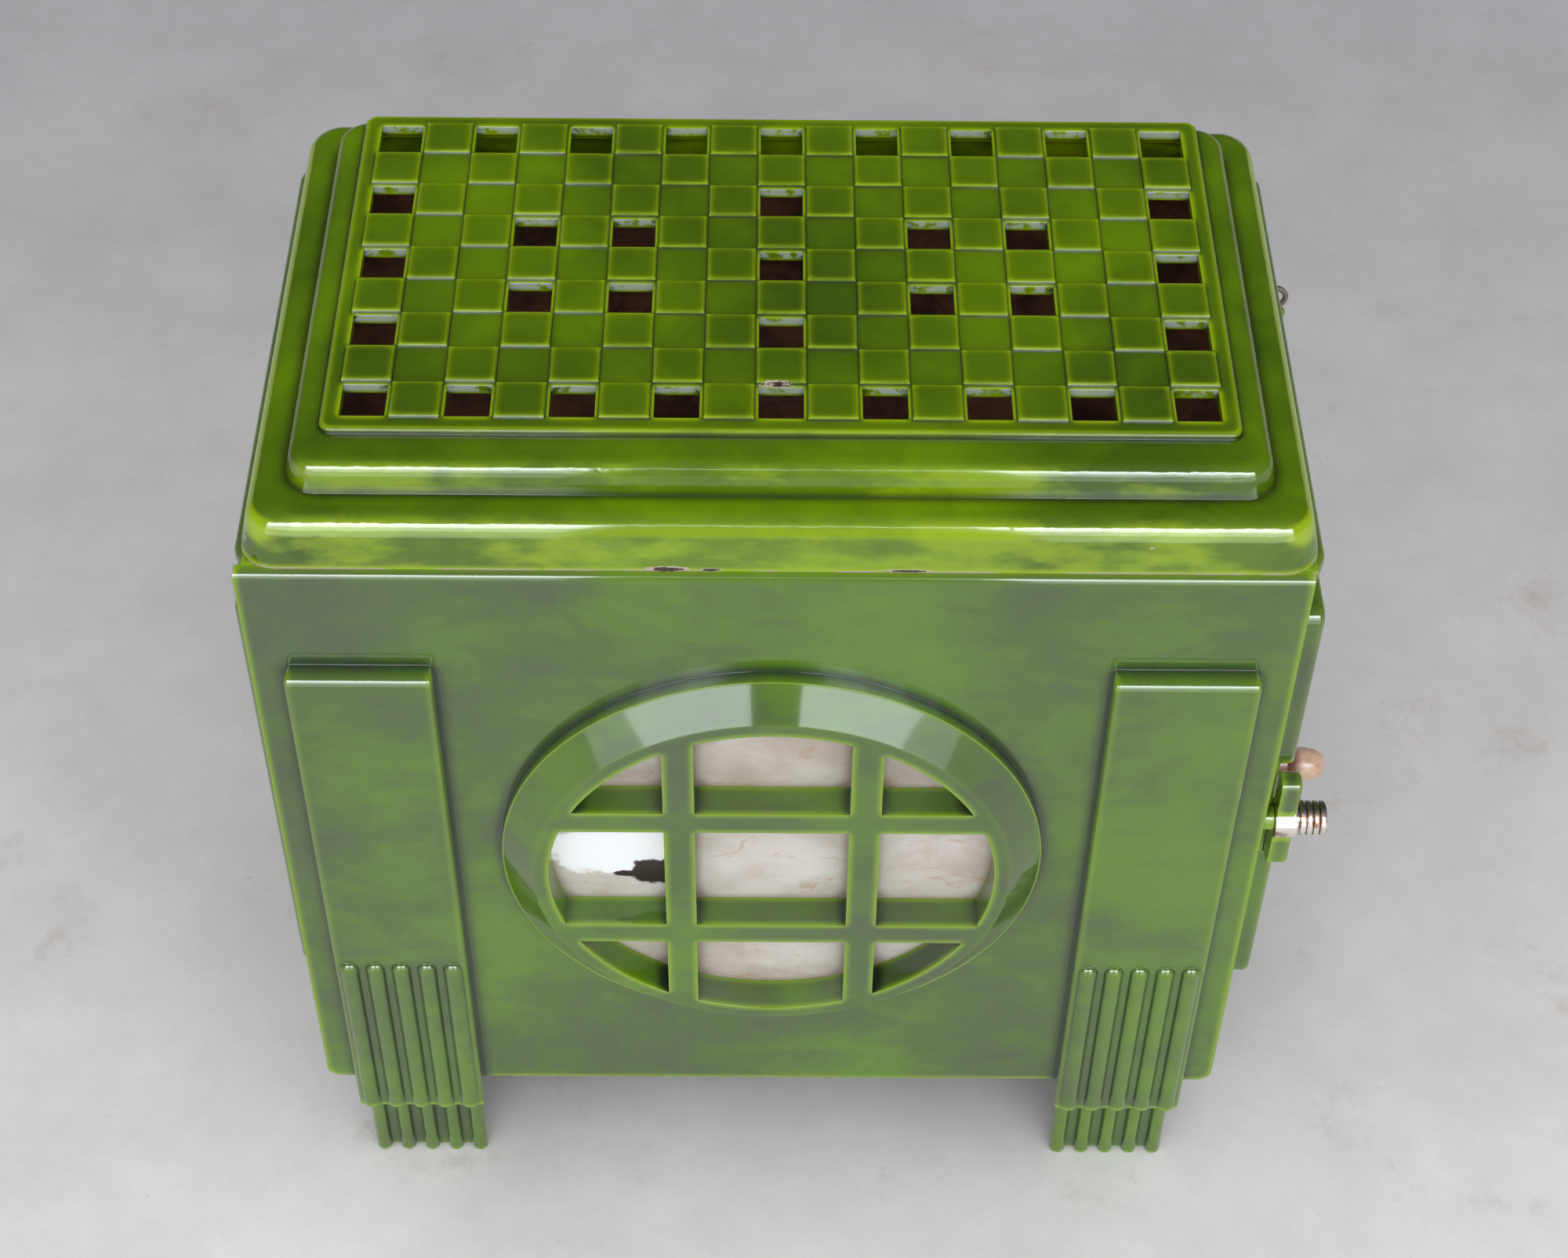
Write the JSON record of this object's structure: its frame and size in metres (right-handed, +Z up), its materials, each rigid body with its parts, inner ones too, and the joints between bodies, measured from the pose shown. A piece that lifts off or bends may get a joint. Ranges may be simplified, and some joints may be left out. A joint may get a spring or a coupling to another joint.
{
  "type": "wood stove",
  "caption": "Enamelled cast wood stove with a pierced checkered lid, a round barred mica window, reeded pilaster feet and a side loading door.",
  "frame": {"origin": "on the floor, in the middle of the body between the four feet", "axes": "+X to the right of someone facing the window (the loading door's side), +Y to the back, where the flue leaves, +Z up"},
  "size_m": [0.6353, 0.4295, 0.603],
  "materials": {
    "enamel_green": "glossy vitreous enamel",
    "cast_iron": "bare, heat-darkened",
    "nickel": "worn nickel plate",
    "mica": "heat-clouded mica",
    "steel": "oxidised",
    "firebrick": "matt",
    "rope_seal": "woven"
  },
  "bodies": {
    "stove": {"front_plate": "enamel_green", "mica_window": "mica", "mica_retainer": "cast_iron", "retainer_screws": "steel", "left_side_plate": "enamel_green", "right_side_plate": "enamel_green", "door_hinge_pin_lower": "steel", "door_hinge_pin_upper": "steel", "back_plate": "enamel_green", "flue_collar": "cast_iron", "flue_collar_bolts": "steel", "base_plate": "cast_iron", "fire_bed_plate": "cast_iron", "grate": "cast_iron", "liner_left": "firebrick", "liner_back": "firebrick", "baffle_plate": "cast_iron", "hotplate": "cast_iron", "tie_rods": "steel", "tie_rod_nuts": "steel", "lid_hinge_brackets": "cast_iron", "lid_hinge_pins": "steel", "bracket_screws": "steel", "latch_stud": "steel", "latch_stud_nut": "steel"},
    "lid": {"lid": "enamel_green"},
    "hotplate_cover": {"hotplate_cover": "cast_iron"},
    "loading_door": {"loading_door": "enamel_green", "door_rope_seal": "rope_seal", "door_heat_shield": "steel", "shield_screws": "steel"},
    "air_regulator": {"air_disc": "cast_iron", "air_spindle": "steel", "air_nut": "steel", "air_knob": "nickel"},
    "latch": {"latch_arms": "enamel_green", "latch_hub": "nickel", "latch_knob": "nickel"},
    "ash_drawer": {"ash_drawer_front": "enamel_green", "ash_pan": "steel", "ash_knob": "nickel", "ash_knob_screw": "steel"}
  },
  "joints": [
    {"name": "lid_hinge", "type": "hinge", "parent": "stove", "child": "lid", "pos_m": [0, 0.186, 0.54], "axis": [-1, 0, 0], "range_deg": [0, 92]},
    {"name": "cover_lift", "type": "slide", "parent": "stove", "child": "hotplate_cover", "axis": [0, 0, 1], "range_m": [0, 0.04]},
    {"name": "door_hinge", "type": "hinge", "parent": "stove", "child": "loading_door", "pos_m": [0.292, 0.103, 0.344], "axis": [0, 0, 1], "range_deg": [0, 120]},
    {"name": "air_turn", "type": "hinge", "parent": "loading_door", "child": "air_regulator", "pos_m": [0.2923, -0.03, 0.229], "axis": [1, 0, 0], "range_deg": [0, 30]},
    {"name": "latch_turn", "type": "hinge", "parent": "stove", "child": "latch", "pos_m": [0.289, -0.161, 0.339], "axis": [1, 0, 0], "range_deg": [0, 90]},
    {"name": "drawer_slide", "type": "slide", "parent": "stove", "child": "ash_drawer", "axis": [1, 0, 0], "range_m": [0, 0.3]}
  ]
}
